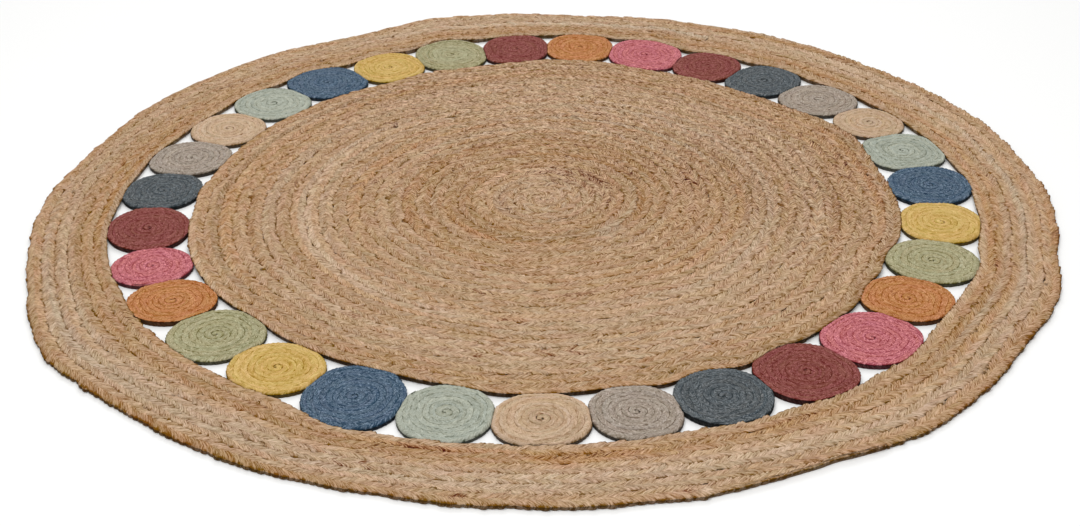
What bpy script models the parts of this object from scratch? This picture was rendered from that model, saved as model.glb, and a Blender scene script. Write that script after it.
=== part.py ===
"""Round jute rug, lying flat, built the way it is sewn together.

A flat three-strand jute plait is coiled into the centre disc. Thirty-one small coils of a fine
dyed plait, the medallions, are sewn round its edge, and several rounds of the wide plait are
coiled round them as the outer band. The floor shows through the gaps between the medallions.

Frame: the origin is on the floor under the middle of the rug, +Z is up, and the side of the
rug that is nearest in the photograph faces -Y. Bearings are degrees from that side, counted
anticlockwise from above, so 90 is +X.
"""

from collections import namedtuple
from math import atan2, cos, degrees, exp, hypot, pi, radians, sin

import bmesh
import bpy

for old in list(bpy.data.objects):
    bpy.data.objects.remove(old)

MM = 0.001

# Driving sizes, in metres.
RUG_RADIUS = 0.750            # mean radius of the outer edge
SEAM_GAP = 0.0007             # sewn edges meet with this clearance
MEDALLION_TOP = 0.0080
MEDALLION_RIM = 0.0056        # where its rounded shoulder starts
MEDALLION_SHOULDER = 0.0026   # the shoulder's width
UNDER_CUT = 0.0012            # how far a plait's underside draws in from its edge

# A coiled plait: how many rounds, its steps past each medallion, the medallion where it starts,
# and the heights above the floor of a round's crest, of the seam between two rounds and of the
# edge. The rounds are 20 to 21 mm wide.
Coil = namedtuple("Coil", "turns steps start crest seam rim")
DISC_COIL = Coil(25, 2, 18, 0.0090, 0.0070, 0.0056)
BAND_COIL = Coil(5.5, 4, 17, 0.0095, 0.0074, 0.0060)

# Steps of an edge past each medallion, and steps round a medallion itself.
EDGE_STEPS = 4
MEDALLION_STEPS = 24

# The middle of the disc is a true round; further out its turns take the edge's shape.
ROUNDING_POWER = 3

# Bumps and hollows of the outer edge: bearing and spread in degrees, height in mm outwards.
Bump = namedtuple("Bump", "bearing spread out_mm")
OUTER_BUMPS = (
    Bump(14, 3, 4), Bump(24, 5, -3), Bump(37, 6, 11), Bump(46, 3, 4), Bump(56, 6, -4),
    Bump(65, 4, 4), Bump(75, 5, -8), Bump(82, 3, -3), Bump(99, 4, -3), Bump(108, 5, 4),
    Bump(129, 4, -4), Bump(141, 3, 2), Bump(147, 8, 4), Bump(162, 2, 6), Bump(174, 4, -4),
    Bump(184, 5, 10), Bump(194, 6, 18), Bump(208, 6, -11), Bump(220, 3, 3), Bump(240, 3, 1),
    Bump(254, 9, -10), Bump(283, 6, -2), Bump(302, 9, 18), Bump(344, 7, -5), Bump(356, 4, -2),
)

# One row for each medallion, in order round the rug. `start` is the bearing where it meets the
# one before it. `disc` and `band` are the radii of the disc's and the band's edges at that
# seam, and `inner` and `outer` are the radii between which the medallion itself is held.
# `square` is the exponent of its outline, 2 for an ellipse, and `lean` is how far its outer
# end is shifted along the ring. Radii and lean are in mm.
Medallion = namedtuple("Medallion", "yarn start disc band inner outer square lean")
MEDALLIONS = (
    Medallion("beige", -6.7, 526, 634, 525, 634, 2.2, 0),
    Medallion("taupe", 5.1, 523, 634, 520, 634, 2.2, 7),
    Medallion("slate", 16.0, 529, 632, 517, 639, 2.0, 2),
    Medallion("maroon", 27.7, 530, 638, 521, 646, 2.3, 4),
    Medallion("pink", 39.6, 526, 644, 524, 646, 2.2, 4),
    Medallion("orange", 51.8, 525, 637, 515, 635, 2.2, 2),
    Medallion("sage", 62.9, 518, 636, 514, 642, 2.0, -2),
    Medallion("mustard", 74.6, 525, 635, 525, 638, 2.3, -2),
    Medallion("blue", 86.3, 524, 637, 521, 643, 2.1, 3),
    Medallion("mint", 98.2, 520, 638, 523, 640, 2.6, -3),
    Medallion("beige", 109.8, 532, 636, 532, 636, 2.1, -6),
    Medallion("taupe", 120.4, 526, 631, 514, 632, 2.1, -10),
    Medallion("slate", 132.6, 511, 624, 507, 632, 2.3, -6),
    Medallion("maroon", 143.9, 511, 622, 512, 628, 2.2, 0),
    Medallion("pink", 155.1, 512, 620, 517, 643, 2.3, 15),
    Medallion("orange", 167.6, 526, 639, 531, 651, 2.3, 3),
    Medallion("maroon", 178.8, 533, 646, 525, 648, 2.4, -7),
    Medallion("sage", 189.9, 520, 643, 517, 652, 2.1, 2),
    Medallion("mustard", 201.7, 521, 631, 514, 636, 2.2, 0),
    Medallion("blue", 213.3, 512, 624, 517, 642, 2.4, 9),
    Medallion("mint", 225.4, 518, 631, 517, 640, 2.1, 4),
    Medallion("beige", 237.0, 519, 632, 517, 632, 2.2, 0),
    Medallion("taupe", 248.4, 517, 631, 516, 636, 2.2, 8),
    Medallion("slate", 259.9, 517, 634, 523, 636, 2.2, 6),
    Medallion("maroon", 271.1, 520, 636, 523, 640, 2.0, -6),
    Medallion("pink", 283.8, 525, 638, 526, 638, 2.0, -3),
    Medallion("orange", 294.0, 525, 635, 523, 637, 2.1, -10),
    Medallion("sage", 304.9, 518, 634, 510, 632, 2.2, -5),
    Medallion("mustard", 317.0, 514, 628, 514, 627, 2.1, -6),
    Medallion("blue", 329.2, 514, 625, 511, 642, 2.2, 9),
    Medallion("mint", 341.8, 515, 638, 517, 637, 2.1, 0),
)
COUNT = len(MEDALLIONS)
PAIRS = list(zip(MEDALLIONS, MEDALLIONS[1:] + MEDALLIONS[:1]))    # each with the one after it
SNUG = 1.02                   # outlines are this much larger before they are pressed together

# Colours of the yarns and their roughness.
ROUGHNESS = 0.9
YARNS = {
    "jute": "#B59577",
    "beige": "#BBA084",
    "taupe": "#9D9084",
    "slate": "#585D60",
    "maroon": "#7F4843",
    "pink": "#B76C70",
    "orange": "#B57B4E",
    "sage": "#A29C7B",
    "mustard": "#BF9F5C",
    "blue": "#506273",
    "mint": "#A2A698",
}


def point(radius, bearing, z=0.0):
    """The point at a radius from the rug's axis, on a bearing in degrees."""
    angle = radians(bearing)
    return (radius * sin(angle), -radius * cos(angle), z)


def seam_knots(at_seam, at_middle):
    """Knots of a seam's radius: one column at the medallions' ends, one at their middles.

    Two knots more at each end carry the curve on past a full turn.
    """
    knots = []
    for row, following in PAIRS:
        width = (following.start - row.start) % 360.0
        knots.append((row.start % 360.0, getattr(row, at_seam) * MM))
        knots.append(((row.start + width / 2) % 360.0, getattr(row, at_middle) * MM))
    knots.sort()
    before = [(bearing - 360.0, radius) for bearing, radius in knots[-2:]]
    after = [(bearing + 360.0, radius) for bearing, radius in knots[:2]]
    return before + knots + after


def through(knots, bearing):
    """A smooth cubic curve through the knots; at each its slope is that of its neighbours."""
    turned = bearing % 360.0
    k = 1
    while knots[k + 1][0] <= turned:
        k += 1
    (b0, r0), (b1, r1), (b2, r2), (b3, r3) = knots[k - 1:k + 3]
    span = b2 - b1
    slope1 = (r2 - r0) / (b2 - b0) * span
    slope2 = (r3 - r1) / (b3 - b1) * span
    t = (turned - b1) / span
    bend = (r1 - r2) * 2 + slope1 + slope2
    lift = (r2 - r1) * 3 - slope1 * 2 - slope2
    return r1 + t * (slope1 + t * (lift + t * bend))


def edge_polygon(at_seam, at_middle, outwards):
    """The (bearing, radius) corners of an edge, and the first once more after a full turn."""
    knots = seam_knots(at_seam, at_middle)
    corners = [(b, through(knots, b) + outwards) for b in EDGE_BEARINGS]
    return corners + [(corners[0][0] + 360.0, corners[0][1])]


def on_polygon(corners, bearing):
    """The radius of a polygon's straight side on a bearing."""
    first = corners[0][0]
    turned = (bearing - first) % 360.0 + first
    k = 0
    while corners[k + 1][0] <= turned:
        k += 1
    (b1, r1), (b2, r2) = corners[k], corners[k + 1]
    opposite = sin(radians(b2 - turned)) / r1 + sin(radians(turned - b1)) / r2
    return sin(radians(b2 - b1)) / opposite


EDGE_BEARINGS = []
for row, following in PAIRS:
    step = (following.start - row.start) % 360.0 / EDGE_STEPS
    EDGE_BEARINGS += [row.start + step * k for k in range(EDGE_STEPS)]
DISC_CORNERS = edge_polygon("disc", "inner", -SEAM_GAP / 2)
BAND_CORNERS = edge_polygon("band", "outer", SEAM_GAP / 2)
DISC_RADIUS = sum(row.disc for row in MEDALLIONS) * MM / COUNT


def disc_edge(bearing):
    return on_polygon(DISC_CORNERS, bearing)


def band_inner_edge(bearing):
    return on_polygon(BAND_CORNERS, bearing)


def band_outer_edge(bearing):
    """The mean radius with each bump added as a bell curve exp(-(distance / spread)^2)."""
    radius = RUG_RADIUS
    for bump in OUTER_BUMPS:
        away = (bearing - bump.bearing + 180.0) % 360.0 - 180.0
        radius += bump.out_mm * MM * exp(-((away / bump.spread) ** 2))
    return radius


def disc_point(share, bearing, z):
    """A point of the disc, `share` of the way from the middle to the edge."""
    off_round = disc_edge(bearing) - DISC_RADIUS
    return point(share * (DISC_RADIUS + off_round * share ** ROUNDING_POWER), bearing, z)


def band_point(share, bearing, z):
    """A point of the band, `share` of the way from its inner edge to its outer edge."""
    inner = band_inner_edge(bearing)
    return point(inner + (band_outer_edge(bearing) - inner) * share, bearing, z)


def facet(bm, *corners):
    """A face of its different corners, where that leaves at least three."""
    corners = list(dict.fromkeys(corners))
    if len(corners) > 2:
        bm.faces.new(corners)


def coiled_plait(bm, place, coil, inner, outer):
    """Raise the rounds of one coiled plait between an inner and an outer edge.

    The plait starts on the inner edge with no width, winds outwards, and tapers away into the
    outer edge. Its inside seam is at share i / total after i steps, its outside seam is one
    round further on, and the crest runs midway between them.
    """
    steps = coil.steps * COUNT
    total = round(coil.turns * steps)
    stride = EDGE_STEPS // coil.steps
    origin = coil.start * EDGE_STEPS

    def edge_index(i):
        return (origin + i * stride) % len(EDGE_BEARINGS)

    seams = [inner[edge_index(0) % len(inner)]]
    for i in range(1, total):
        bearing = EDGE_BEARINGS[edge_index(i)]
        seams.append(bm.verts.new(place(i / total, bearing, coil.seam)))
    seams.append(outer[edge_index(total)])

    def inside(i):
        return seams[i] if i >= 0 else inner[edge_index(i) % len(inner)]

    def outside(i):
        """The outside seam's points from step i to step i + 1."""
        if i + steps < total:
            return seams[i + steps:i + steps + 2]
        return [outer[(edge_index(i) + k) % len(outer)] for k in range(stride + 1)]

    crests = [seams[0]]
    for i in range(1 - steps, total):
        low, high = max(0.0, i / total), min(1.0, (i + steps) / total)
        width = (high - low) * total / steps
        z = coil.seam + (coil.crest - coil.seam) * width
        crests.append(bm.verts.new(place((low + high) / 2, EDGE_BEARINGS[edge_index(i)], z)))
    crests.append(seams[-1])
    for i in range(-steps, total):
        near, far = crests[i + steps], crests[i + steps + 1]
        facet(bm, inside(i), near, far, inside(i + 1))
        facet(bm, near, *outside(i), far)


def ring_of_points(bm, place, share, z, inset=0.0):
    """A closed ring of points along an edge, moved `inset` towards the rug's axis."""
    ring = []
    for bearing in EDGE_BEARINGS:
        x, y, z = place(share, bearing, z)
        keep = 1.0 - inset / hypot(x, y)
        ring.append(bm.verts.new((x * keep, y * keep, z)))
    return ring


def wall(bm, upper, lower):
    """Join two closed rings of equal counts."""
    for i in range(len(upper)):
        j = (i + 1) % len(upper)
        bm.faces.new((upper[i], lower[i], lower[j], upper[j]))


def finish(bm, name, yarn):
    """Turn the faces outwards and make the named object, shaded smooth, in its yarn."""
    bmesh.ops.triangulate(bm, faces=bm.faces)
    bmesh.ops.recalc_face_normals(bm, faces=bm.faces)
    mesh = bpy.data.meshes.new(name)
    bm.to_mesh(mesh)
    bm.free()
    mesh.shade_smooth()
    mesh.set_sharp_from_angle(angle=radians(50))
    mesh.materials.append(yarn_material(yarn))
    part = bpy.data.objects.new(name, mesh)
    bpy.context.scene.collection.objects.link(part)


def yarn_material(yarn):
    """One matt material for each yarn, made the first time it is asked for."""
    if yarn in bpy.data.materials:
        return bpy.data.materials[yarn]
    material = bpy.data.materials.new(yarn)
    material.use_nodes = True
    shader = material.node_tree.nodes["Principled BSDF"]
    shader.inputs["Base Color"].default_value = linear_colour(YARNS[yarn])
    shader.inputs["Roughness"].default_value = ROUGHNESS
    shader.inputs["Metallic"].default_value = 0.0
    return material


def linear_colour(code):
    """An sRGB hex code as linear red, green, blue and alpha."""
    channels = []
    for i in (1, 3, 5):
        value = int(code[i:i + 2], 16) / 255
        channels.append(value / 12.92 if value <= 0.04045 else ((value + 0.055) / 1.055) ** 2.4)
    return (*channels, 1.0)


def centre_disc():
    """One long plait, coiled from the middle outwards, with a rounded edge and a flat back."""
    coil = DISC_COIL
    bm = bmesh.new()
    middle = bm.verts.new((0.0, 0.0, coil.seam))
    rim = ring_of_points(bm, disc_point, 1.0, coil.rim)
    back = ring_of_points(bm, disc_point, 1.0, 0.0, inset=UNDER_CUT)
    coiled_plait(bm, disc_point, coil, [middle], rim)
    wall(bm, rim, back)
    bm.faces.new(back)
    finish(bm, "centre_disc", "jute")


def outer_band():
    """The same plait, coiled round the medallions from the inner edge to the outer edge."""
    coil = BAND_COIL
    bm = bmesh.new()
    inner = ring_of_points(bm, band_point, 0.0, coil.rim)
    inner_back = ring_of_points(bm, band_point, 0.0, 0.0, inset=-UNDER_CUT)
    outer = ring_of_points(bm, band_point, 1.0, coil.rim)
    outer_back = ring_of_points(bm, band_point, 1.0, 0.0, inset=UNDER_CUT)
    coiled_plait(bm, band_point, coil, inner, outer)
    wall(bm, inner_back, inner)
    wall(bm, outer, outer_back)
    wall(bm, outer_back, inner_back)
    finish(bm, "outer_band", "jute")


def medallion_outline(row, following):
    """Points round one medallion: an eased square, pressed against everything it touches."""
    width = (following.start - row.start) % 360.0
    middle = row.start + width / 2
    mid_radius = (row.inner + row.outer) * MM / 2
    half_depth = (row.outer - row.inner) * MM / 2
    half_width = mid_radius * radians(width) / 2
    clear = SEAM_GAP / 2
    outline = []
    for i in range(MEDALLION_STEPS):
        angle = 2 * pi * i / MEDALLION_STEPS
        across, out = cos(angle), sin(angle)
        reach = (abs(across) ** row.square + abs(out) ** row.square) ** (-1 / row.square) * SNUG
        along = reach * across * half_width + row.lean * MM / 2 * out
        radius = hypot(mid_radius + reach * out * half_depth, along)
        turned = degrees(atan2(along, mid_radius + reach * out * half_depth))
        # Pressed in between its two neighbours, then between the disc and the band.
        limit = width / 2 - degrees(clear / radius)
        bearing = middle + max(-limit, min(limit, turned))
        radius = min(radius, band_inner_edge(bearing) - SEAM_GAP)
        radius = max(radius, disc_edge(bearing) + SEAM_GAP)
        outline.append(point(radius, bearing))
    centre = point(mid_radius, middle)
    return outline, centre


def medallion(number, row, following):
    """One small coil: its outline, a rounded shoulder and a flat top."""
    outline, centre = medallion_outline(row, following)
    bm = bmesh.new()
    rings = []
    for inset, z in ((0.0, 0.0), (0.0, MEDALLION_RIM), (MEDALLION_SHOULDER, MEDALLION_TOP)):
        ring = []
        for x, y, _ in outline:
            keep = 1.0 - inset / hypot(x - centre[0], y - centre[1])
            ring.append(bm.verts.new((centre[0] + (x - centre[0]) * keep,
                                      centre[1] + (y - centre[1]) * keep, z)))
        rings.append(ring)
    back, rim, shoulder = rings
    wall(bm, rim, back)
    wall(bm, shoulder, rim)
    bm.faces.new(back)
    top = bm.verts.new((centre[0], centre[1], MEDALLION_TOP))
    for i in range(MEDALLION_STEPS):
        bm.faces.new((top, shoulder[i], shoulder[(i + 1) % MEDALLION_STEPS]))
    finish(bm, f"medallion_{number:02d}", row.yarn)


centre_disc()
for number, pair in enumerate(PAIRS):
    medallion(number + 1, *pair)
outer_band()
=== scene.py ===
"""The looks of the round jute rug: every round of plait and every small coil, on a pale floor.

Frame, as in the part: the origin is on the floor under the middle of the rug, +Z is up, and
bearings are degrees from -Y, the near side, anticlockwise from above, so 90 is +X.
"""

from collections import namedtuple
from math import cos, hypot, pi, radians, sin

import bpy
import numpy as np
from mathutils import Matrix, Vector


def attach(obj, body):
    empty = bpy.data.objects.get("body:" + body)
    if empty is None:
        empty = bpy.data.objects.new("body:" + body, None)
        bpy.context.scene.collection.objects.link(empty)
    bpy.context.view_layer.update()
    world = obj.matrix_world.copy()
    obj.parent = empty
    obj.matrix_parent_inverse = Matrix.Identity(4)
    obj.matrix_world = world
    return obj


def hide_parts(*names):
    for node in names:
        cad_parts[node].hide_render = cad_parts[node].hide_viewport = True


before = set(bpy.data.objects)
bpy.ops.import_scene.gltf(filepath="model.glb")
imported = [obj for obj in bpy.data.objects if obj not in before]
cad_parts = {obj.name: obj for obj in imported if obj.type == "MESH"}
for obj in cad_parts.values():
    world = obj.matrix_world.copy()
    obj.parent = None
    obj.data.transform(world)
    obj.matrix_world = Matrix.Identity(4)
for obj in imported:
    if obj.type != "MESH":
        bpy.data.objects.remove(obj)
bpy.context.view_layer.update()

# ---- Camera ---------------------------------------------------------------------------------
# It looks down at the rug from 2.4 m away, 29 degrees above the floor. Its place was worked out
# from the rug's own circles. It leans about one degree, as the photograph does.

CAMERA_DISTANCE = 2.41854     # m, from the point that it is aimed at
CAMERA_AIM = (-0.006992, -0.185527, 0.0)
CAMERA_ELEVATION = 29.392     # degrees
CAMERA_LEAN = -0.940          # degrees
CAMERA_LENS = 57.444          # mm, on a sensor 36 mm wide

lens = bpy.data.cameras.new("camera")
lens.lens = CAMERA_LENS
lens.sensor_width = 36.0
camera = bpy.data.objects.new("camera", lens)
bpy.context.scene.collection.objects.link(camera)
rise = radians(CAMERA_ELEVATION)
stand = Vector(CAMERA_AIM) + Vector((0.0, -cos(rise), sin(rise))) * CAMERA_DISTANCE
camera.matrix_world = (Matrix.Translation(stand) @ Matrix.Rotation(pi / 2 - rise, 4, "X")
                       @ Matrix.Rotation(radians(CAMERA_LEAN), 4, "Z"))
bpy.context.scene.camera = camera

# ---- Centre disc ----------------------------------------------------------------------------
# One long flat plait of three jute strands, about 20 mm wide, coiled flat from the middle and
# sewn edge to edge, 25 rounds. Each strand shows as a row of slanting arms, which meet those of
# the other row in a zigzag down the plait's middle.

MM = 0.001
SEAM_GAP = 0.0007             # m, between sewn edges, as in the part

# One row for each medallion, in order round the rug. `start` is the bearing where it meets the
# one before it. `disc` and `band` are the radii of the disc's and the band's edges at that
# seam, and `inner` and `outer` are the radii between which the medallion itself is held.
# `square` is the exponent of its outline, 2 for an ellipse, and `lean` is how far its outer
# end is shifted along the ring. Radii and lean are in mm.
Medallion = namedtuple("Medallion", "yarn start disc band inner outer square lean")
MEDALLIONS = (
    Medallion("beige", -6.7, 526, 634, 525, 634, 2.2, 0),
    Medallion("taupe", 5.1, 523, 634, 520, 634, 2.2, 7),
    Medallion("slate", 16.0, 529, 632, 517, 639, 2.0, 2),
    Medallion("maroon", 27.7, 530, 638, 521, 646, 2.3, 4),
    Medallion("pink", 39.6, 526, 644, 524, 646, 2.2, 4),
    Medallion("orange", 51.8, 525, 637, 515, 635, 2.2, 2),
    Medallion("sage", 62.9, 518, 636, 514, 642, 2.0, -2),
    Medallion("mustard", 74.6, 525, 635, 525, 638, 2.3, -2),
    Medallion("blue", 86.3, 524, 637, 521, 643, 2.1, 3),
    Medallion("mint", 98.2, 520, 638, 523, 640, 2.6, -3),
    Medallion("beige", 109.8, 532, 636, 532, 636, 2.1, -6),
    Medallion("taupe", 120.4, 526, 631, 514, 632, 2.1, -10),
    Medallion("slate", 132.6, 511, 624, 507, 632, 2.3, -6),
    Medallion("maroon", 143.9, 511, 622, 512, 628, 2.2, 0),
    Medallion("pink", 155.1, 512, 620, 517, 643, 2.3, 15),
    Medallion("orange", 167.6, 526, 639, 531, 651, 2.3, 3),
    Medallion("maroon", 178.8, 533, 646, 525, 648, 2.4, -7),
    Medallion("sage", 189.9, 520, 643, 517, 652, 2.1, 2),
    Medallion("mustard", 201.7, 521, 631, 514, 636, 2.2, 0),
    Medallion("blue", 213.3, 512, 624, 517, 642, 2.4, 9),
    Medallion("mint", 225.4, 518, 631, 517, 640, 2.1, 4),
    Medallion("beige", 237.0, 519, 632, 517, 632, 2.2, 0),
    Medallion("taupe", 248.4, 517, 631, 516, 636, 2.2, 8),
    Medallion("slate", 259.9, 517, 634, 523, 636, 2.2, 6),
    Medallion("maroon", 271.1, 520, 636, 523, 640, 2.0, -6),
    Medallion("pink", 283.8, 525, 638, 526, 638, 2.0, -3),
    Medallion("orange", 294.0, 525, 635, 523, 637, 2.1, -10),
    Medallion("sage", 304.9, 518, 634, 510, 632, 2.2, -5),
    Medallion("mustard", 317.0, 514, 628, 514, 627, 2.1, -6),
    Medallion("blue", 329.2, 514, 625, 511, 642, 2.2, 9),
    Medallion("mint", 341.8, 515, 638, 517, 637, 2.1, 0),
)
STARTS = np.array([row.start for row in MEDALLIONS])
WIDTHS = (np.roll(STARTS, -1) - STARTS) % 360.0
MIDDLES = STARTS + WIDTHS / 2
DISC_RADIUS = sum(row.disc for row in MEDALLIONS) * MM / len(MEDALLIONS)


def through(at_seam, at_middle, bearing):
    """A smooth closed curve of a radius against the bearing, in metres.

    Between two knots it is a cubic. At each knot its slope is that of the line through the
    knots on either side. There is a knot at each medallion's seam and one at its middle.
    """
    seams = [getattr(row, at_seam) for row in MEDALLIONS]
    middles = [getattr(row, at_middle) for row in MEDALLIONS]
    b = np.concatenate([STARTS, MIDDLES]) % 360.0
    order = np.argsort(b)
    b, r = b[order], np.array(seams + middles)[order] * MM
    b = np.concatenate([b[-2:] - 360.0, b, b[:2] + 360.0])
    r = np.concatenate([r[-2:], r, r[:2]])
    turned = bearing % 360.0
    k = np.searchsorted(b, turned, side="right") - 1
    span = b[k + 1] - b[k]
    slope1 = (r[k + 1] - r[k - 1]) / (b[k + 1] - b[k - 1]) * span
    slope2 = (r[k + 2] - r[k]) / (b[k + 2] - b[k]) * span
    t = (turned - b[k]) / span
    bend = 2 * (r[k] - r[k + 1]) + slope1 + slope2
    lift = 3 * (r[k + 1] - r[k]) - 2 * slope1 - slope2
    return r[k] + t * (slope1 + t * (lift + t * bend))


def disc_edge(bearing):
    """The radius of the disc's edge: the seam's curve less half the sewing gap."""
    return through("disc", "inner", bearing) - SEAM_GAP / 2


def ease(t):
    """0 up to t = 0 and 1 from t = 1, with the smooth step 3t^2 - 2t^3 between."""
    t = np.clip(t, 0.0, 1.0)
    return t * t * (3.0 - 2.0 * t)


def wander(chance, at, step, spread):
    """A slow chance change along a length: a chance value every `step`, eased between them."""
    values = chance.normal(0.0, spread, int(np.max(at) / step) + 3)
    k = np.floor(at / step).astype(int)
    return values[k] + (values[k + 1] - values[k]) * ease(at / step - k)


def on_floor(radius, bearing):
    """x and y of a point at a radius from the rug's middle, on a bearing."""
    return np.stack([radius * np.sin(np.radians(bearing)), -radius * np.cos(np.radians(bearing))])


# The disc's coil: its rounds, the bearing where the plait starts, and how far past that bearing,
# in rounds, its end is tucked in.
DISC_ROUNDS, DISC_START, DISC_END, TUCK = 25, 201.7, 0.5, 0.05
ROUNDING_POWER = 3            # the middle is a true round, and further out takes the edge's shape


def disc_place(turn, across):
    """x and y of a point of the coil, `across` of the way over the plait's width.

    A round's share of the radius is its number over all rounds there, and the number of rounds
    drops by one, eased, where the plait's end is tucked in.
    """
    passed = turn % 1.0
    rounds = DISC_ROUNDS + passed - ease((passed - DISC_END) / TUCK)
    share = np.clip((turn + across) / rounds, 0.0, 1.0)
    bearing = DISC_START + 360.0 * turn
    off_round = disc_edge(bearing) - DISC_RADIUS
    return on_floor(share * (DISC_RADIUS + off_round * share ** ROUNDING_POWER), bearing)


# Half the section of a plait, from its middle to its edge. `across` is in half widths, `furrow`
# the height between two arms and `crest` the height along an arm, in mm above the floor.
Section = namedtuple("Section", "across furrow crest")
PLAIT_SECTION = (
    Section(0.00, 7.0, 7.6), Section(0.22, 7.3, 8.5), Section(0.50, 7.5, 9.0),
    Section(0.80, 7.3, 8.7), Section(1.00, 6.7, 7.5),
)
PLAIT_UNDER = (Section(0.84, 0.3, 0.0), Section(0.0, 0.3, 0.0))
PLAIT_WIDTH = 20.5 * MM
ARM_PITCH = 10.5 * MM         # from one arm to the next in its row
ARM_SLANT = 1.40              # an arm runs this many pitches along while it crosses half the plait
ARM_STEPS = 4                 # rows of points for each pitch
ZIGZAG = 0.12                 # how far the middle line swings, in half widths
ARM_ROUNDING = 0.7            # exponent of the height across an arm, lower for a flatter top
CORD_DIP = 0.6                # least height between an arm's two cords, as a share of the arm's
PACE_STEP = 0.09              # m, over which the pitch of the arms changes
PACE_SPREAD = 0.10            # standard deviation of that change, as a share of the pitch
SEAM_LOBES = 0.08             # how far an arm sticks out over a seam, in half widths
EDGE_FROM = 0.9               # half widths from the middle, beyond which a point is the edge's
DEEP_LAP = 0.03               # how far the upright outer edge stands out, in half widths
DEEP_FOOT = 0.95              # where that edge's foot is, in half widths
FOOT_HEIGHT = 0.3             # mm, from the floor up to that foot
RIM_FURROW = 0.8              # mm, from a crest down to a furrow at that edge
THIN_END = 0.92               # height where the plait has no width, as a share of the full one
FINE_STEPS = 40000            # points along a coil, for measuring its length


def tube(name, rings):
    """A closed skin from an array of rings of points, (rings, points, 3), turned outwards."""
    n, m, _ = rings.shape
    i, c = np.meshgrid(np.arange(n - 1) * m, np.arange(m), indexing="ij")
    after = (c + 1) % m
    quads = np.stack([i + c, i + after, i + m + after, i + m + c], -1).reshape(-1, 4)
    points = rings.reshape(-1, 3)
    a, b, d = points[quads[:, 0]], points[quads[:, 1]], points[quads[:, 2]]
    if (a * np.cross(b, d)).sum() < 0.0:
        quads = quads[:, ::-1]
    first, last = list(range(m)), list(range((n - 1) * m, n * m))
    if quads[0, 0] > quads[0, 1]:
        first.reverse()
    else:
        last.reverse()
    mesh = bpy.data.meshes.new(name)
    mesh.from_pydata(points.tolist(), [], quads.tolist() + [first[::-1], last[::-1]])
    return mesh


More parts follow.
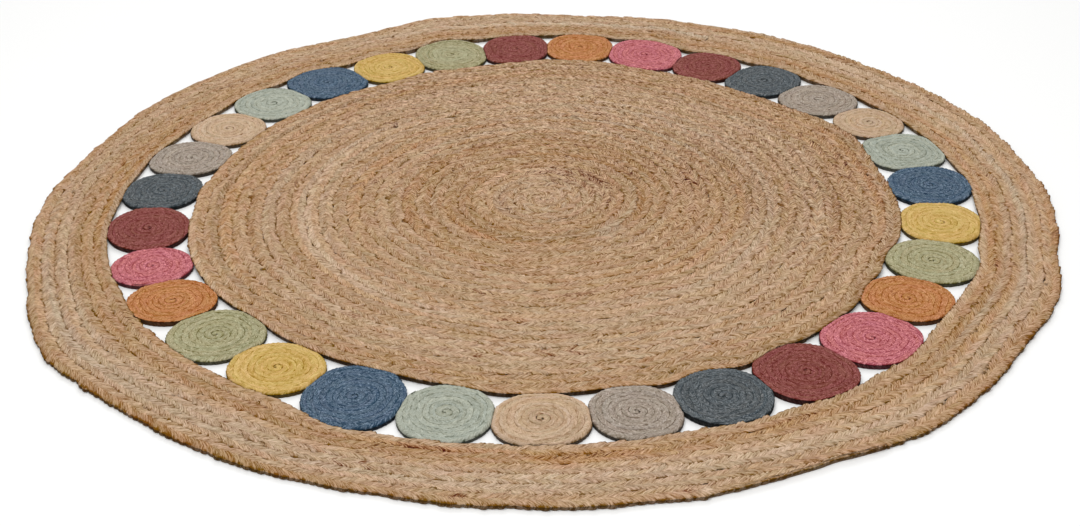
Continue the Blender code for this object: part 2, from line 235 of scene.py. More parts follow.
def plait(name, place, turn_from, turn_to, section, under, width, pitch, slant, steps, seed,
          corded=True, uneven=0.07, lap=0.03, lobes=0.17, deep_from=np.inf, rim=7.5):
    """A length of coiled plait as a closed skin, and the facts that its yarn needs.

    A point's place along the coil is its row plus the slant times its distance from the
    plait's middle, so the grid's lines run along the arms. The height between furrow and crest
    is |cos(pi a)| to the power ARM_ROUNDING, where a counts the arms, and the arms of one half
    lie half a pitch behind those of the other. A corded arm is two cords side by side: its
    height is |sin(2 pi a)| to that power, and at least CORD_DIP of the plain arm's. Arms
    differ in size by chance, by `uneven`. The edges lap over the next round by `lap` half
    widths, and by SEAM_LOBES more at an arm. From the turn `deep_from` on, the outer side
    stands upright, its arms stick out by `lobes` half widths, and over its outer half the top
    falls to `rim` mm at the edge, by the square of the way there.
    """
    chance = np.random.default_rng(seed)
    turns = np.linspace(turn_from, turn_to, FINE_STEPS)
    steps_x, steps_y = np.diff((place(turns, 0.0) + place(turns, 1.0)) / 2, axis=1)
    run = np.concatenate([[0.0], np.cumsum(np.hypot(steps_x, steps_y))])
    pace = 1.0 + wander(chance, run, PACE_STEP, PACE_SPREAD)
    arms = np.concatenate([[0.0], np.cumsum(np.diff(run) / pitch * pace[1:])])
    count = int(arms[-1] * steps)
    a = np.arange(count + 1)[:, None] / steps

    half = [(-s.across, s.furrow, s.crest) for s in section[::-1]]
    half += [(s.across, s.furrow, s.crest) for s in section[1:]]
    below = [(s.across, s.furrow, s.crest) for s in under]
    below += [(-s.across, s.furrow, s.crest) for s in under[-2::-1]]
    t, furrow, crest = (np.array(v)[None, :] for v in zip(*(half + below)))
    top = np.arange(t.size) < len(half)

    # Where the plait starts its arms run straight across, and within a few arms they slant.
    turn = np.interp(a + slant * np.abs(t) * ease(a / (3.0 * slant)), arms, turns)
    deep = (turn > deep_from) & (t > 0.0)
    t = np.where(deep & ~top, DEEP_FOOT, t)
    outwards = place(turn, 1.0) - place(turn, 0.0)
    wide = np.hypot(*outwards)
    outwards = outwards / np.maximum(wide, 1e-6)
    share = np.clip(wide / width, 0.0, 1.0)
    phase = a + np.where(t > 0.0, 0.5, 0.0)
    arm = np.abs(np.cos(pi * phase)) ** ARM_ROUNDING
    cords = np.abs(np.sin(2.0 * pi * phase)) ** ARM_ROUNDING
    lobe = np.maximum(cords, CORD_DIP * arm) if corded else arm
    number = np.floor(phase + 0.5).astype(int)
    plump = 1.0 + chance.normal(0.0, uneven, (2, number.max() + 3))
    side = (t > 0.0).astype(int) + np.zeros_like(number)
    swell = plump[side, number]
    zigzag = np.where(t == 0.0, np.cos(2 * pi * a) * ZIGZAG * top, 0.0)
    lapped = np.where(deep, DEEP_LAP, lap) + np.where(deep, lobes, SEAM_LOBES) * arm + (swell - 1.0)
    bulge = 1.0 + lapped * (np.abs(t) > EDGE_FROM)
    across = 0.5 + 0.5 * (t * bulge + zigzag)
    over = np.clip(np.abs(across - 0.5) - 0.5, 0.0, 1.0) * wide
    x, y = place(turn, across) + outwards * np.sign(t) * over
    height = (furrow + (crest * np.where(top, swell, 1.0) - furrow) * lobe) * MM
    height = np.where(deep & ~top, FOOT_HEIGHT * MM, height)
    fall = np.where(deep & top, np.clip(2.0 * t - 1.0, 0.0, 1.0) ** 2, 0.0)
    height = height + ((rim - RIM_FURROW + RIM_FURROW * lobe) * swell * MM - height) * fall
    height = height * (THIN_END + (1.0 - THIN_END) * share)
    mesh = tube(name, np.stack([x, y, height], -1))
    # Only the top is shaded smooth, so its edges stay as pale as its middle.
    smooth = np.tile(np.arange(t.shape[1]) < len(half) - 1, count)
    mesh.polygons.foreach_set("use_smooth", np.concatenate([smooth, [False, False]]))

    # What each face belongs to: its half of the plait, its arm, and how far along that lies.
    t = t[:1]
    columns = t.size
    mid = (t + np.roll(t, -1, axis=1))[0] / 2
    face_side = (mid > 0.0).astype(int)[None, :] + np.zeros((count, 1), int)
    face_phase = a[:-1] + 0.5 / steps + 0.5 * face_side
    face_arm = np.floor(face_phase + 0.5).astype(int)
    face_run = np.interp(a[:-1], arms, run) + np.zeros((1, columns))
    corners = [np.roll(v[rows], shift, axis=1) for rows in (slice(0, -1), slice(1, None))
               for shift in (0, -1) for v in (x, y)]
    face_x, face_y = sum(corners[0::2]) / 4, sum(corners[1::2]) / 4
    widths = np.hypot(*(place(turns, 1.0) - place(turns, 0.0)))
    mean_width = float((widths[1:] * np.diff(run)).sum() / run[-1])
    return mesh, dict(side=face_side, arm=face_arm, run=face_run, x=face_x, y=face_y, top=smooth,
                      a=a, t=t, pitch=pitch, arm_length=hypot(width / 2, slant * pitch),
                      flat=(mean_width, float(run[-1])))


def keep_faces(mesh, name, values):
    """Store one number for each face; the two end faces get the first and the last."""
    flat = np.concatenate([values.ravel(), [values.flat[0], values.flat[-1]]])
    mesh.attributes.new(name, "FLOAT", "FACE").data.foreach_set("value", flat.astype(np.float32))


def keep_fibres(mesh, facts):
    """Store the map "fibre": metres along the fibres of an arm, and metres across the arms.

    The first is the distance from the plait's middle, in half widths, times an arm's length,
    and 32 such lengths more in the second half of the plait. The second is the arm's number
    times the pitch, counted half an arm later in the second half.
    """
    a, t = facts["a"][:, 0], facts["t"][0]
    columns = t.size
    corner = np.zeros(len(mesh.loops), np.int32)
    mesh.loops.foreach_get("vertex_index", corner)
    row, column = corner // columns, corner % columns
    faces = facts["side"].size
    side = np.concatenate([np.repeat(facts["side"].ravel(), 4),
                           np.zeros(len(corner) - faces * 4, int)])
    u = (np.abs(t[column]) + side * 32) * facts["arm_length"]
    v = (a[row] + 0.5 * side) * facts["pitch"]
    uv = mesh.uv_layers.new(name="fibre")
    uv.data.foreach_set("uv", np.stack([u, v], -1).astype(np.float32).ravel())


# How much the yarn changes along each half of the plait, along each strand and by the arm.
Change = namedtuple("Change", "half strand arm")
TONE_CHANGE = Change(0.06, 0.045, 0.055)
WARM_CHANGE = Change(0.11, 0.08, 0.05)
HALF_STEP = 0.45              # m, over which a half's yarn changes
STRAND_STEPS = (0.35, 0.35, 0.12)    # m, over which a strand's tone, warmth and bark change
ARM_BARK = (0.8, 0.5)         # mean and spread of an arm's share of the stain of its place
STRAND_BARK = 0.8             # stain of a strand's own dark runs
BARK_FROM, BARK_OVER = 1.9, 0.7      # such a run begins at 1.9 standard deviations, full at 2.6


def spun(mesh, facts, base, seed, even=1.0):
    """Give each arm its yarn: tone, dark to pale, warmth, grey to orange, stain and streak gain.

    Tone and warmth are the place's own, plus a slow change along each half of the plait and
    along each strand, plus the arm's own chance. Every third arm is of the same strand. The
    stain is dark bark: the place's own, more or less of it by the arm, plus short runs along
    one strand. The streak gain is how strongly the streaks show. `even` scales how long the
    yarn stays the same.
    """
    chance = np.random.default_rng(seed)
    side, arm, run = (facts[k] for k in ("side", "arm", "run"))
    strand = (arm * 2 + side) % 3
    tone, warm, stain, streak_gain = base(facts["x"], facts["y"])
    own = chance.normal(0.0, 1.0, (3, 2, arm.max() + 2))[:, side, arm]
    halves = [np.choose(side, [wander(chance, run, HALF_STEP * even, 1.0) for _ in range(2)])
              for _ in range(2)]
    strands = [np.choose(strand, [wander(chance, run, step * even, 1.0) for _ in range(3)])
               for step in STRAND_STEPS]
    tone, warm = (value + change.half * halves[k] + change.strand * strands[k] + change.arm * own[k]
                  for k, (value, change) in enumerate([(tone, TONE_CHANGE), (warm, WARM_CHANGE)]))
    barked = STRAND_BARK * ease((strands[2] - BARK_FROM) / BARK_OVER)
    stain = np.clip(stain * (ARM_BARK[0] + ARM_BARK[1] * own[2]) + barked, 0.0, 1.0)
    kept = dict(tone=tone, warm=warm, stain=stain, streak_gain=streak_gain, top=facts["top"])
    for name, values in kept.items():
        keep_faces(mesh, name, values)
    keep_fibres(mesh, facts)


def linear_colour(code):
    """An sRGB hex code as linear red, green, blue and alpha."""
    values = np.array([int(code[i:i + 2], 16) for i in (1, 3, 5)]) / 255.0
    linear = np.where(values <= 0.04045, values / 12.92, ((values + 0.055) / 1.055) ** 2.4)
    return (*linear.tolist(), 1.0)


def add(material, kind, settings=None, **links):
    """Add a node of that kind, set its properties, and fill or link its inputs.

    An input is named by its label with _ for a space, or i0, i1 by its place. A value that is
    an output socket is linked.
    """
    node = material.node_tree.nodes.new(kind)
    for name, value in (settings or {}).items():
        setattr(node, name, value)
    for name, value in links.items():
        spot = int(name[1:]) if name[0] == "i" and name[1:].isdigit() else name.replace("_", " ")
        socket = node.inputs[spot]
        if isinstance(value, bpy.types.NodeSocket):
            material.node_tree.links.new(value, socket)
        else:
            socket.default_value = value
    return node


# A yarn's fibres, in mm: how wide and long a streak is, drawn coarser than real fibres, which are
# taken as 0.1 to 0.3 mm wide, so that it shows, and how long and wide an arm of the plait is.
# `arms`, `cords`, `middle` and `seam` are how dark the painted shade is in the grooves between
# two arms, between an arm's two cords, down the plait's middle and between two rounds, as a
# share of the streaks' strength.
Fibres = namedtuple("Fibres", "wide long arm_length pitch arms cords middle seam")
PLAIT_FIBRES = Fibres(1.8, 11.0, hypot(PLAIT_WIDTH / 2, ARM_SLANT * ARM_PITCH) / MM,
                      ARM_PITCH / MM, 0.125, 0.10, 0.10, 0.36)

HUE_TURN = 0.008              # of the whole circle of hues, either way
HUE_LENGTHS = (30 * MM, 45 * MM)     # of such a turn, along the fibres and across the arms
# The grooves' painted shade shows in patches of this size.
GROOVE_SHADE_PATCH = 9 * MM         # size of the places where the grooves show
KEPT = 0.50                   # how much of a change of shade keeps the yarn's own colour
DARKEST, PALEST = 0.35, 2.0   # limits of the streaks' shade, with 1 as the yarn's own
LIGHT_WEIGHTS = (0.2126, 0.7152, 0.0722)    # of red, green and blue in brightness


def yarn(name, cool, warm, bark, streaks, pale, dark, fibres, wall_shade):
    """Jute strand: matt bundles of long fibres, streaked along their length.

    The colour runs from cool to warm with the face's `warm`, its hue turns a little along the
    plait, and it becomes bark in its darker streaks where there is `stain`. Its shade s is
    1 + (tone - 0.5) + g streaks (streak - 0.5), where g is the face's streak gain, plus `pale`
    in the palest fibres, less `dark` in the darkest, and less a painted shade in the grooves.
    The colour is multiplied by KEPT s + (1 - KEPT), and grey of the yarn's own brightness is
    added (1 - KEPT) (s - 1) times, so that dark fibres are as strongly coloured as pale ones.
    Below the top's edge, where little light comes, a painted shade darkens it to `wall_shade`.
    """
    material = bpy.data.materials.new(name)
    material.use_nodes = True
    tree = material.node_tree
    shader = tree.nodes["Principled BSDF"]
    fibre = add(material, "ShaderNodeUVMap", {"uv_map": "fibre"}).outputs["UV"]
    stretch = add(material, "ShaderNodeMapping", Vector=fibre,
                  Scale=(1000 / fibres.long, 1000 / fibres.wide, 1.0))
    streak = add(material, "ShaderNodeTexNoise", {"noise_dimensions": "2D"},
                 Vector=stretch.outputs["Vector"], Scale=1.0, Detail=5.0, Roughness=0.78)
    place = add(material, "ShaderNodeTexCoord").outputs["Object"]
    patch = add(material, "ShaderNodeTexNoise", Vector=place, Scale=1 / GROOVE_SHADE_PATCH, Detail=2.0)
    tone, hue, stain, streak_gain, top = (
        add(material, "ShaderNodeAttribute", {"attribute_name": word}).outputs["Fac"]
        for word in ("tone", "warm", "stain", "streak_gain", "top"))
    centred = add(material, "ShaderNodeMath", i0=streak.outputs[0], i1=-0.5)
    centred = add(material, "ShaderNodeMath", {"operation": "MULTIPLY"},
                  i0=centred.outputs[0], i1=streak_gain)
    shade = add(material, "ShaderNodeMath", {"operation": "MULTIPLY_ADD"},
                i0=centred.outputs[0], i1=streaks, i2=tone)
    shade = add(material, "ShaderNodeMapRange", i0=shade.outputs[0],
                i1=DARKEST - 0.5, i2=PALEST - 0.5, i3=DARKEST, i4=PALEST)
    # The palest and the darkest fibres, by how far their streak is from the middle one.
    for least, most, more in ((0.06, 0.20, pale), (-0.06, -0.16, -dark)):
        rare = add(material, "ShaderNodeMapRange", i0=centred.outputs[0],
                   i1=least, i2=most, i3=0.0, i4=more)
        shade = add(material, "ShaderNodeMath", i0=shade.outputs[0], i1=rare.outputs[0])
    dyed = add(material, "ShaderNodeMix", {"data_type": "RGBA"},
               i0=hue, i6=linear_colour(cool), i7=linear_colour(warm))
    turn = add(material, "ShaderNodeMapping", Vector=fibre,
               Scale=(1 / HUE_LENGTHS[0], 1 / HUE_LENGTHS[1], 1.0))
    turn = add(material, "ShaderNodeTexNoise", {"noise_dimensions": "2D"},
               Vector=turn.outputs["Vector"], Scale=1.0, Detail=2.0)
    turn = add(material, "ShaderNodeMapRange", i0=turn.outputs[0], i1=0.25, i2=0.75,
               i3=0.5 - HUE_TURN, i4=0.5 + HUE_TURN)
    dyed = add(material, "ShaderNodeHueSaturation", Hue=turn.outputs[0], Color=dyed.outputs[2])
    # The more stain, the more of the streaks count as dark enough for bark.
    flecks = add(material, "ShaderNodeMath", {"operation": "MULTIPLY_ADD"},
                 i0=stain, i1=-0.20, i2=centred.outputs[0])
    flecks = add(material, "ShaderNodeMapRange", i0=flecks.outputs[0], i1=-0.13, i2=-0.19)
    barked = add(material, "ShaderNodeMix", {"data_type": "RGBA"},
                 i0=flecks.outputs[0], i6=dyed.outputs[0], i7=linear_colour(bark))
    # The grooves' painted shade shows here and there. `apart` is the way from one to the next,
    # `first` how far the first one is shifted, and `reach` their half width as a share of `apart`.
    ways = add(material, "ShaderNodeSeparateXYZ", Vector=fibre)
    pitch, length = fibres.pitch * MM, fibres.arm_length * MM
    groove_shade = None
    for axis, apart, first, reach, depth in (("Y", pitch, pitch / 2, 0.22, fibres.arms),
                                             ("Y", pitch / 2, 0.0, 0.30, fibres.cords),
                                             ("X", 2 * length, 0.0, 0.06, fibres.middle),
                                             ("X", 2 * length, length, 0.10, fibres.seam)):
        shifted = add(material, "ShaderNodeMath", i0=ways.outputs[axis], i1=first)
        away = add(material, "ShaderNodeMath", {"operation": "PINGPONG"},
                   i0=shifted.outputs[0], i1=apart / 2)
        line = add(material, "ShaderNodeMapRange", {"interpolation_type": "SMOOTHSTEP"},
                   i0=away.outputs[0], i1=0.0, i2=apart * reach, i3=depth * streaks, i4=0.0)
        if groove_shade is None:
            groove_shade = line
        else:
            groove_shade = add(material, "ShaderNodeMath", {"operation": "MAXIMUM"},
                         i0=groove_shade.outputs[0], i1=line.outputs[0])
    spot = add(material, "ShaderNodeMapRange", {"interpolation_type": "SMOOTHSTEP"},
               i0=patch.outputs[0], i1=0.40, i2=0.62)
    lost = add(material, "ShaderNodeMath", {"operation": "MULTIPLY"},
               i0=groove_shade.outputs[0], i1=spot.outputs[0])
    shade = add(material, "ShaderNodeMath", {"operation": "SUBTRACT"},
                i0=shade.outputs[0], i1=lost.outputs[0])
    shade = add(material, "ShaderNodeMath", {"operation": "MAXIMUM"},
                i0=shade.outputs[0], i1=DARKEST)
    scale = add(material, "ShaderNodeMath", {"operation": "MULTIPLY_ADD"},
                i0=shade.outputs[0], i1=KEPT, i2=1.0 - KEPT)
    bright = float(np.dot(linear_colour(cool)[:3], LIGHT_WEIGHTS)) * (1.0 - KEPT)
    grey = add(material, "ShaderNodeMath", {"operation": "MULTIPLY_ADD"},
               i0=shade.outputs[0], i1=bright, i2=-bright)
    shaded = add(material, "ShaderNodeVectorMath", {"operation": "MULTIPLY_ADD"},
                 i0=barked.outputs[2], i1=scale.outputs[0], i2=grey.outputs[0])
    # Painted shade on the sides: faces that are not top keep only the wall's share of their colour.
    lit = add(material, "ShaderNodeMapRange", i0=top, i3=wall_shade, i4=1.0)
    shaded = add(material, "ShaderNodeVectorMath", {"operation": "SCALE"},
                 i0=shaded.outputs[0], Scale=lit.outputs[0])
    tree.links.new(shaded.outputs[0], shader.inputs["Base Color"])
    bump = add(material, "ShaderNodeBump", Strength=0.9, Distance=0.8 * MM,
               Height=streak.outputs[0])
    tree.links.new(bump.outputs["Normal"], shader.inputs["Normal"])
    shader.inputs["Roughness"].default_value = 0.9
    shader.inputs["Specular IOR Level"].default_value = 0.15
    return material


# The wide plait's yarn: cool, warm and bark colours, streaks, pale, dark, and its fibres.
JUTE = ("#B7A087", "#B88F67", "#8C6242", 3.15, 0.0, 0.25, PLAIT_FIBRES)
# Painted shade on the disc's edge, where it faces the narrow gaps: how much of its colour is kept.
DISC_WALL_SHADE = 0.15              # the disc's edge faces the narrow gaps
DISC_JUTE = yarn("plaited_jute", *JUTE, DISC_WALL_SHADE)


# The disc's yarn by its radius in mm: how pale and how orange, both with 0.5 as the mean.
Ring = namedtuple("Ring", "at tone warm")
DISC_RINGS = (
    Ring(0, 0.53, 0.40), Ring(40, 0.51, 0.44), Ring(75, 0.46, 0.50), Ring(115, 0.43, 0.62),
    Ring(150, 0.43, 0.62), Ring(200, 0.49, 0.54), Ring(235, 0.53, 0.48), Ring(285, 0.49, 0.52),
    Ring(340, 0.55, 0.40), Ring(385, 0.54, 0.44), Ring(435, 0.50, 0.50), Ring(465, 0.50, 0.58),
    Ring(505, 0.44, 0.56),
)
# Places where it differs: the bearing and radius in the middle, the size outwards and along in
# mm, and what is added to tone, warmth and stain there.
Spot = namedtuple("Spot", "bearing radius out along tone warm stain")
DISC_SPOTS = (
    Spot(135, 100, 9, 70, -0.04, -0.1, 0.9), Spot(105, 96, 9, 60, -0.03, 0.0, 0.6),
    Spot(165, 86, 9, 45, 0.0, -0.1, 0.75), Spot(112, 74, 7, 30, 0.0, 0.0, 0.7),
    Spot(140, 62, 7, 25, 0.0, 0.0, 0.6), Spot(155, 50, 8, 30, -0.02, 0.0, 0.6),
    Spot(122, 152, 8, 45, -0.02, 0.0, 0.65), Spot(196, 163, 8, 40, -0.03, 0.1, 0.5),
    Spot(312, 148, 7, 70, -0.04, 0.4, 0.45), Spot(285, 62, 7, 40, -0.03, 0.0, 0.5),
    Spot(282, 205, 9, 120, -0.03, 0.1, 0.35), Spot(65, 212, 16, 50, -0.04, 0.25, 0.25),
    Spot(8, 291, 7, 40, 0.0, 0.1, 0.7), Spot(42, 280, 7, 60, -0.02, 0.2, 0.6),
    Spot(75, 245, 20, 120, -0.02, 0.12, 0.1), Spot(150, 292, 6, 110, -0.03, 0.1, 0.45),
    Spot(342, 292, 7, 40, 0.0, 0.0, 0.6), Spot(352, 354, 8, 40, 0.0, 0.3, 0.35),
    Spot(255, 264, 6, 25, 0.0, 0.0, 0.7), Spot(188, 385, 5, 22, 0.0, 0.0, 0.95),
    Spot(262, 385, 5, 26, 0.0, 0.0, 0.9), Spot(100, 400, 6, 260, -0.03, 0.1, 0.35),
    Spot(300, 438, 6, 380, -0.05, 0.1, 0.2), Spot(210, 250, 8, 120, 0.03, -0.3, 0.0),
    Spot(40, 145, 15, 30, 0.08, -0.5, 0.0), Spot(85, 320, 12, 250, 0.03, -0.2, 0.0),
    Spot(100, 500, 10, 200, -0.03, 0.3, 0.1), Spot(270, 470, 14, 200, -0.01, 0.2, 0.0),
    Spot(92, 330, 50, 150, -0.20, 0.1, 0.15), Spot(115, 240, 70, 120, -0.08, 0.0, 0.12),
    Spot(90, 430, 28, 110, -0.12, 0.0, 0.15), Spot(0, 470, 60, 330, 0.08, -0.1, 0.0),
    Spot(180, 100, 60, 120, 0.07, 0.0, 0.0), Spot(128, 85, 28, 60, -0.06, 0.0, 0.2),
    Spot(270, 240, 12, 160, 0.08, 0.1, 0.0), Spot(300, 360, 12, 220, 0.09, -0.1, 0.0),
    Spot(-11.7, 447, 5, 12, -0.10, 0.1, 1.2), Spot(-37.1, 419, 5, 10, -0.10, 0.1, 1.2),
    Spot(42.5, 424, 5, 14, -0.05, 0.1, 0.9), Spot(17.7, 403, 5, 16, -0.04, 0.1, 0.7),
)


def painted(at, bearing, radius, rings, spots):
    """Tone, warmth and stain of places: straight lines between the rings, with each spot added.

    A spot fades as exp(-(out / size)^2 - (along / size)^2).
    """
    stops = [ring.at for ring in rings]
    values = [np.interp(at, stops, [ring.tone for ring in rings]),
              np.interp(at, stops, [ring.warm for ring in rings]), np.zeros_like(at)]
    for spot in spots:
        aside = np.radians((bearing - spot.bearing + 180.0) % 360.0 - 180.0) * spot.radius
        inside = np.exp(-((radius - spot.radius) / spot.out) ** 2 - (aside / spot.along) ** 2)
        values = [value + inside * more
                  for value, more in zip(values, (spot.tone, spot.warm, spot.stain))]
    return values


def disc_yarn(x, y):
    """Painted by its radius, with stronger streaks to the back and the right.

    The streak gain is 1 where x + 2 y is -0.6 m or less, and rises, eased, to 1.5 where it is 0.7
    m.
    """
    radius = np.hypot(x, y) / MM
    values = painted(radius, np.degrees(np.arctan2(x, -y)), radius, DISC_RINGS, DISC_SPOTS)
    return *values, 1.0 + 0.5 * ease((x + 2.0 * y + 0.6) / 1.3)


def rug_piece(mesh, node):
    """Link the finished mesh to the rug's root, standing for a CAD node, which it hides."""
    piece = bpy.data.objects.new(mesh.name, mesh)
    bpy.context.scene.collection.objects.link(piece)
    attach(piece, "root")
    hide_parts(node)


# The disc's plait is made in two lengths, spliced after so many rounds.
DISC_SPLICE = 16.9
DISC_LENGTHS = ((-1.0, DISC_SPLICE), (DISC_SPLICE, DISC_ROUNDS - 1 + DISC_END + TUCK))
for number, (turn_from, turn_to) in enumerate(DISC_LENGTHS):
    mesh, facts = plait(f"disc_plait_{number + 1}", disc_place, turn_from, turn_to,
                        PLAIT_SECTION, PLAIT_UNDER, PLAIT_WIDTH, ARM_PITCH, ARM_SLANT,
                        ARM_STEPS, 11 + number)
    spun(mesh, facts, disc_yarn, 21 + number)
    mesh.materials.append(DISC_JUTE)
    rug_piece(mesh, "centre_disc")

# ---- Medallions -----------------------------------------------------------------------------
# Thirty-one small coils of a fine plait of dyed jute, 8.5 mm wide, sewn between the disc and
# the band and to each other. Each is wound from its middle in about seven rounds, and pressed
# flat against whatever it touches.

FINE_SECTION = (Section(0.0, 7.9, 8.3), Section(0.5, 8.1, 8.7), Section(0.88, 8.3, 8.6),
                Section(1.0, 7.5, 7.7))
FINE_UNDER = (Section(0.4, 6.2, 6.0), Section(0.0, 5.4, 5.2))
FINE_WIDTH = 8.5 * MM
FINE_PITCH = 6.5 * MM
FINE_SLANT = 0.9
FINE_ARM_STEPS = 2            # rows of points for each pitch
FINE_FIBRES = Fibres(1.9, 6.5, hypot(FINE_WIDTH / 2, FINE_SLANT * FINE_PITCH) / MM,
                     FINE_PITCH / MM, 0.09, 0.0, 0.06, 0.42)
SNUG = 1.03                   # outlines are this much larger before they are pressed together
COIL_END, COIL_TUCK = 0.5, 0.12     # rounds past its start where a coil's end is tucked in
OUTSIDE = 1.4                 # rounds before the full number, from where the outer side shows
SEAM_SHARE = 0.6              # of the coil's length, up to which its sides are hidden in seams


def band_inner(bearing):
    """The radius of the band's inner edge: the seam's curve plus half the sewing gap."""
    return through("band", "outer", bearing) + SEAM_GAP / 2


def medallion_outline(row, width):
    """Offsets from a medallion's middle to its outline, one for each degree, and the middle.

    The outline is |across|^square + |out|^square = 1 in half sizes, sheared by the lean, then
    held between its two neighbours and between the disc and the band.
    """
    angle = np.radians(np.arange(361.0))
    middle = row.start + width / 2
    mid_radius = (row.inner + row.outer) * MM / 2
    half_depth = (row.outer - row.inner) * MM / 2
    half_width = mid_radius * radians(width) / 2
    across, out = np.cos(angle), np.sin(angle)
    reach = (np.abs(across) ** row.square + np.abs(out) ** row.square) ** (-1 / row.square) * SNUG
    along = reach * across * half_width + row.lean * MM / 2 * out
    ahead = mid_radius + reach * out * half_depth
    radius = np.hypot(ahead, along)
    turned = np.degrees(np.arctan2(along, ahead))
    limit = width / 2 - np.degrees(SEAM_GAP / 2 / radius)
    bearing = middle + np.clip(turned, -limit, limit)
    radius = np.clip(radius, disc_edge(bearing) + SEAM_GAP, band_inner(bearing) - SEAM_GAP)
    centre = on_floor(mid_radius, middle)[:, None]
    return on_floor(radius, bearing) - centre, centre


def medallion_place(offsets, centre, rounds, first_angle):
    """The place function of one coil.

    A point is its share of the way out along its bearing. At a share s the coil's shape is a
    circle plus s^2 of the way from that to the outline.
    """
    mean = np.hypot(*offsets).mean()
    heading = np.unwrap(np.arctan2(offsets[1], offsets[0]))
    degrees_round = np.arange(361.0)

    def place(turn, across):
        """x and y of a point of the coil, with its rounds counted as in disc_place."""
        passed = turn % 1.0
        count = rounds + passed - ease((passed - COIL_END) / COIL_TUCK)
        share = np.clip((turn + across) / count, 0.0, 1.0)
        at = (first_angle + 360.0 * turn) % 360.0
        edge = np.stack([np.interp(at, degrees_round, v) for v in offsets])
        way = np.interp(at, degrees_round, heading)
        circle = np.stack([np.cos(way), np.sin(way)]) * mean
        offset = share * (circle + (edge - circle) * share ** 2)
        return centre.reshape((2,) + (1,) * np.ndim(offset[0])) + offset

    return place


# The dyes, as the photograph shows them: the yarn's colour where it is cool and where it is
# warmer, the colour of its bark, how strong its streaks are, and how much paler its palest
# fibres are.
Dye = namedtuple("Dye", "cool warm bark streaks pale")
DYES = {
    "beige": Dye("#BCA68F", "#C1A07E", "#A07C5A", 1.9, 0.0),
    "taupe": Dye("#9D9389", "#A39383", "#857A6E", 3.3, 0.3),
    "slate": Dye("#525B61", "#5C5E5E", "#40484E", 6.8, 1.0),
    "maroon": Dye("#7F4442", "#864C42", "#6A332D", 6.2, 1.0),
    "pink": Dye("#B96970", "#BE7174", "#A0505A", 5.0, 0.5),
    "orange": Dye("#B47D53", "#BD7F4E", "#9A5F36", 3.7, 0.1),
    "sage": Dye("#9F9E7F", "#A89D78", "#8A8662", 3.0, 0.1),
    "mustard": Dye("#C5A968", "#CDA762", "#A88646", 1.8, 0.0),
    "blue": Dye("#4A6076", "#566472", "#34485C", 8.5, 1.0),
    "mint": Dye("#A1A89E", "#A8A997", "#8A8F80", 2.2, 0.0),
}
DYED = {}
# Painted shade on a medallion's sides: how much of their colour is kept.
DYED_WALL_SHADE = 0.15              # a medallion's side faces the narrow gaps too
# How high each medallion's outer edge is, in mm. Most are pressed down to RIM.
RIM = 6.0
RIMS = {1: 5.5, 2: 5.5, 3: 7.5, 4: 8.0, 5: 7.0, 6: 7.0,
        25: 7.0, 27: 8.0, 28: 5.5, 29: 5.5, 30: 5.5, 31: 5.0}


def dyed_yarn(x, y):
    """The same all over: middling tone and warmth, no bark, and streaks of one strength."""
    return np.full_like(x, 0.5), np.full_like(x, 0.5), np.zeros_like(x), np.ones_like(x)


for number, row in enumerate(MEDALLIONS):
    chance = np.random.default_rng(300 + number)
    offsets, centre = medallion_outline(row, WIDTHS[number])
    rounds = round(float(np.hypot(*offsets).mean() / FINE_WIDTH))
    place = medallion_place(offsets, centre, rounds, chance.uniform(0.0, 360.0))
    last = rounds - 1 + COIL_END + COIL_TUCK
    mesh, facts = plait(f"coil_{number + 1:02d}", place, -1.0, last, FINE_SECTION, FINE_UNDER,
                        FINE_WIDTH, FINE_PITCH, FINE_SLANT, FINE_ARM_STEPS, 400 + number,
                        corded=False, uneven=0.03, lap=0.05, lobes=0.12,
                        deep_from=rounds - OUTSIDE, rim=RIMS.get(number + 1, RIM))
    # Seams between rounds are drawn tight, so only the outside gets the painted shade of a side.
    facts["top"] = facts["top"] | (facts["run"].ravel() < SEAM_SHARE * facts["flat"][1])
    spun(mesh, facts, dyed_yarn, 500 + number, 0.3)
    if row.yarn not in DYED:
        DYED[row.yarn] = yarn(f"dyed_jute_{row.yarn}", *DYES[row.yarn], 0.0, FINE_FIBRES,
                              DYED_WALL_SHADE)
    mesh.materials.append(DYED[row.yarn])
    rug_piece(mesh, f"medallion_{number + 1:02d}")

# ---- Outer band -----------------------------------------------------------------------------
# Five and a half rounds of the same plait, coiled round the medallions and sewn edge to edge.
# Its yarn changes from round to round: orange outside, pale grey within, tan next the medallions.

RUG_RADIUS = 0.750            # m, the mean one
# Bumps and hollows of the outer edge: bearing and spread in degrees, height in mm outwards.
Bump = namedtuple("Bump", "bearing spread out_mm")
OUTER_BUMPS = (
    Bump(14, 3, 4), Bump(24, 5, -3), Bump(37, 6, 11), Bump(46, 3, 4), Bump(56, 6, -4),
    Bump(65, 4, 4), Bump(75, 5, -8), Bump(82, 3, -3), Bump(99, 4, -3), Bump(108, 5, 4),
    Bump(129, 4, -4), Bump(141, 3, 2), Bump(147, 8, 4), Bump(162, 2, 6), Bump(174, 4, -4),
    Bump(184, 5, 10), Bump(194, 6, 18), Bump(208, 6, -11), Bump(220, 3, 3), Bump(240, 3, 1),
    Bump(254, 9, -10), Bump(283, 6, -2), Bump(302, 9, 18), Bump(344, 7, -5), Bump(356, 4, -2),
)


def band_outer(bearing):
    """The mean radius with each bump added as a bell curve exp(-(distance / spread)^2)."""
    radius = np.full(np.shape(bearing), RUG_RADIUS)
    for bump in OUTER_BUMPS:
        away = (bearing - bump.bearing + 180.0) % 360.0 - 180.0
        radius = radius + bump.out_mm * MM * np.exp(-((away / bump.spread) ** 2))
    return radius


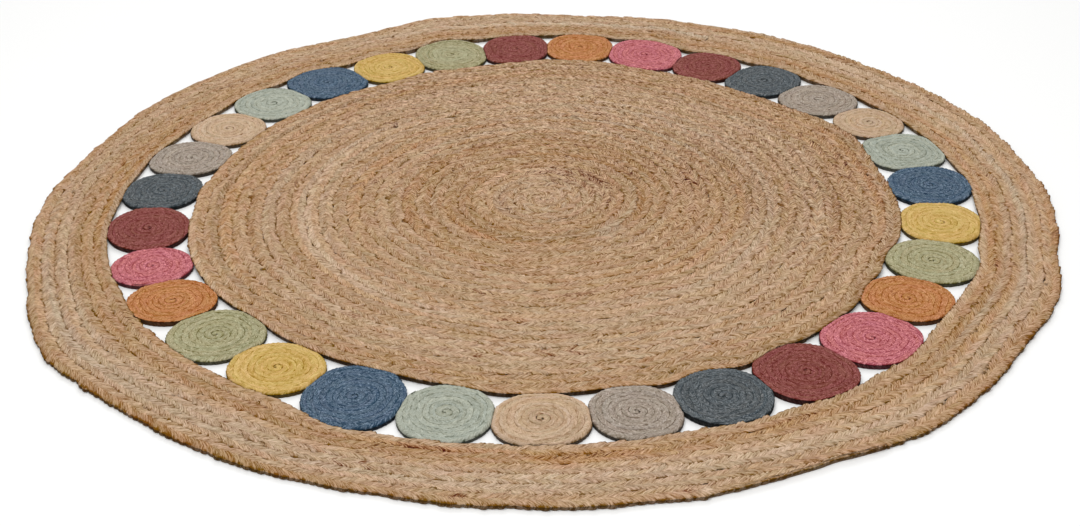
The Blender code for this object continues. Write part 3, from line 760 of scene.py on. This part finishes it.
# The band's coil, as the disc's: rounds, start, end and how far the end is tucked in.
BAND_ROUNDS, BAND_START, BAND_END, BAND_TUCK = 6, 189.9, 0.5, 0.06

# The outer edge ripples a little: waves round the rug, and the height of each in mm.
Ripple = namedtuple("Ripple", "waves height phase")
RIPPLES = (Ripple(37, 0.7, 0.3), Ripple(59, 0.5, 1.9), Ripple(97, 0.4, 4.1))


def band_place(turn, across):
    """x and y of a point of the band's coil.

    Rounds are counted from the inner edge. That edge drops by one round, eased, where the plait
    starts, and the outer edge where it ends.
    """
    passed = turn % 1.0
    first = passed + 1.0 - ease(passed / BAND_TUCK)
    last = BAND_ROUNDS + passed - ease((passed - BAND_END) / BAND_TUCK)
    share = np.clip((turn + across - first) / (last - first), 0.0, 1.0)
    bearing = BAND_START + 360.0 * turn
    inner = band_inner(bearing)
    ripple = sum(wave.height * MM * np.sin(wave.waves * np.radians(bearing) + wave.phase)
                 for wave in RIPPLES)
    return on_floor(inner + (band_outer(bearing) - inner) * share + ripple * share ** 4, bearing)


# The band's yarn by the share of the way outwards over it.
BAND_RINGS = (
    Ring(0.0, 0.51, 0.42), Ring(0.11, 0.48, 0.58), Ring(0.18, 0.46, 0.65), Ring(0.25, 0.45, 0.68),
    Ring(0.32, 0.47, 0.58), Ring(0.39, 0.51, 0.50), Ring(0.46, 0.55, 0.42), Ring(0.54, 0.58, 0.37),
    Ring(0.75, 0.56, 0.37), Ring(0.82, 0.54, 0.46), Ring(0.89, 0.51, 0.57), Ring(1.0, 0.49, 0.67),
)
BAND_SPOTS = (
    Spot(60, 688, 7, 250, -0.06, 0.3, 0.1), Spot(60, 673, 5, 220, 0.05, -0.3, 0.0),
    Spot(345, 655, 8, 80, -0.03, 0.2, 0.5), Spot(5, 660, 8, 70, -0.03, 0.4, 0.5),
    Spot(27, 664, 8, 60, -0.03, 0.3, 0.5), Spot(135, 735, 7, 330, -0.08, 0.3, 0.3),
    Spot(190, 705, 8, 250, 0.10, -0.2, 0.0), Spot(285, 712, 5, 200, -0.06, 0.3, 0.1),
    Spot(290, 725, 5, 250, 0.05, -0.2, 0.0), Spot(290, 698, 5, 250, 0.05, -0.2, 0.0),
    Spot(300, 645, 6, 40, 0.0, 0.0, 0.5), Spot(165, 663, 6, 30, 0.0, 0.0, 0.6),
    Spot(215, 675, 8, 60, -0.04, 0.2, 0.3), Spot(95, 672, 6, 25, 0.0, 0.0, 0.5),
    Spot(25, 742, 14, 330, 0.10, 0.0, 0.0), Spot(280, 745, 8, 250, 0.10, 0.0, 0.0),
    Spot(0, 640, 20, 300, 0.05, 0.0, 0.0), Spot(-8.2, 738, 6, 12, -0.10, 0.1, 1.2),
    Spot(12.3, 744, 6, 10, -0.15, 0.0, 1.2), Spot(13.6, 748, 6, 10, 0.25, -0.3, 0.0),
    Spot(70.5, 661, 5, 9, -0.12, 0.2, 1.2), Spot(2.6, 665, 7, 25, 0.0, 0.7, 0.1),
    Spot(-0.4, 660, 6, 14, 0.0, 0.6, 0.2), Spot(80, 740, 7, 60, -0.06, 0.4, 0.5),
    Spot(-12.8, 655, 4, 14, -0.10, 0.0, 1.0), Spot(0, 700, 60, 400, 0.06, 0.0, 0.0),
    Spot(275, 700, 60, 400, -0.05, 0.05, 0.0), Spot(85, 700, 60, 300, 0.03, 0.0, 0.0),
    Spot(85, 651, 5, 260, -0.05, 0.4, 0.2), Spot(85, 718, 5, 240, -0.05, 0.3, 0.15),
    Spot(85, 703, 5, 260, 0.03, -0.2, 0.0),
)


def band_yarn(x, y):
    """Painted by the share of the way outwards, with streaks of one strength."""
    radius, bearing = np.hypot(x, y), np.degrees(np.arctan2(x, -y))
    inner = band_inner(bearing)
    share = (radius - inner) / (band_outer(bearing) - inner)
    return *painted(share, bearing, radius / MM, BAND_RINGS, BAND_SPOTS), np.ones_like(x)


# Painted shade on the band's outer side: how much of its colour is kept.
BAND_WALL_SHADE = 0.35              # more light comes to the band's outer side than into the gaps
BAND_JUTE = yarn("plaited_jute_outside", *JUTE, BAND_WALL_SHADE)
BAND_RIM = 5.5                # mm, height of the band's outer edge
BAND_SPLICE = 2.9
BAND_LAST = BAND_ROUNDS - 1 + BAND_END + BAND_TUCK
BAND_LENGTHS = ((0.0, BAND_SPLICE), (BAND_SPLICE, BAND_LAST))
for number, (turn_from, turn_to) in enumerate(BAND_LENGTHS):
    mesh, facts = plait(f"band_plait_{number + 1}", band_place, turn_from, turn_to,
                        PLAIT_SECTION, PLAIT_UNDER, PLAIT_WIDTH, ARM_PITCH, ARM_SLANT,
                        ARM_STEPS, 51 + number, deep_from=BAND_LAST - 1.0, rim=BAND_RIM)
    spun(mesh, facts, band_yarn, 61 + number)
    mesh.materials.append(BAND_JUTE)
    rug_piece(mesh, "outer_band")

# ---- Floor and light ------------------------------------------------------------------------
# A plain white studio floor, lit by a large soft lamp above the near side, a smaller one behind
# the rug, and an even white surround.

FLOOR_HALF = 7.0              # m, from the middle to a side
FLOOR_LEVEL = -0.0003         # m, just under the rug's flat back, so that the two don't coincide
floor_mesh = bpy.data.meshes.new("floor")
floor_mesh.from_pydata([(x * FLOOR_HALF, y * FLOOR_HALF, FLOOR_LEVEL)
                        for x, y in ((-1, -1), (1, -1), (1, 1), (-1, 1))], [], [(0, 1, 2, 3)])
floor = bpy.data.objects.new("floor", floor_mesh)
bpy.context.scene.collection.objects.link(floor)
paint = bpy.data.materials.new("white_studio_floor")
paint.use_nodes = True
shader = paint.node_tree.nodes["Principled BSDF"]
shader.inputs["Base Color"].default_value = linear_colour("#F6F6F5")
shader.inputs["Roughness"].default_value = 0.7
floor_mesh.materials.append(paint)

Lamp = namedtuple("Lamp", "name place aim size watts")
LAMPS = (
    Lamp("softbox_behind", (0.0, 3.2, 2.8), (0.0, -0.2, 0.0), (3.2, 1.6), 50.0),
    Lamp("softbox_above", (-0.20, -1.25, 3.5), (0.0, -0.25, 0.0), (3.0, 3.0), 86.0),
)
for lamp in LAMPS:
    light = bpy.data.lights.new(lamp.name, "AREA")
    light.shape = "RECTANGLE"
    light.size, light.size_y = lamp.size
    light.energy = lamp.watts
    box = bpy.data.objects.new(lamp.name, light)
    bpy.context.scene.collection.objects.link(box)
    box.location = lamp.place
    aimed = Vector(lamp.aim) - Vector(lamp.place)
    box.rotation_euler = aimed.to_track_quat("-Z", "Y").to_euler()

world = bpy.data.worlds.new("studio")
world.use_nodes = True
world.node_tree.nodes["Background"].inputs["Color"].default_value = (1.0, 1.0, 1.0, 1.0)
world.node_tree.nodes["Background"].inputs["Strength"].default_value = 0.5
bpy.context.scene.world = world
bpy.context.scene.view_settings.view_transform = "Standard"
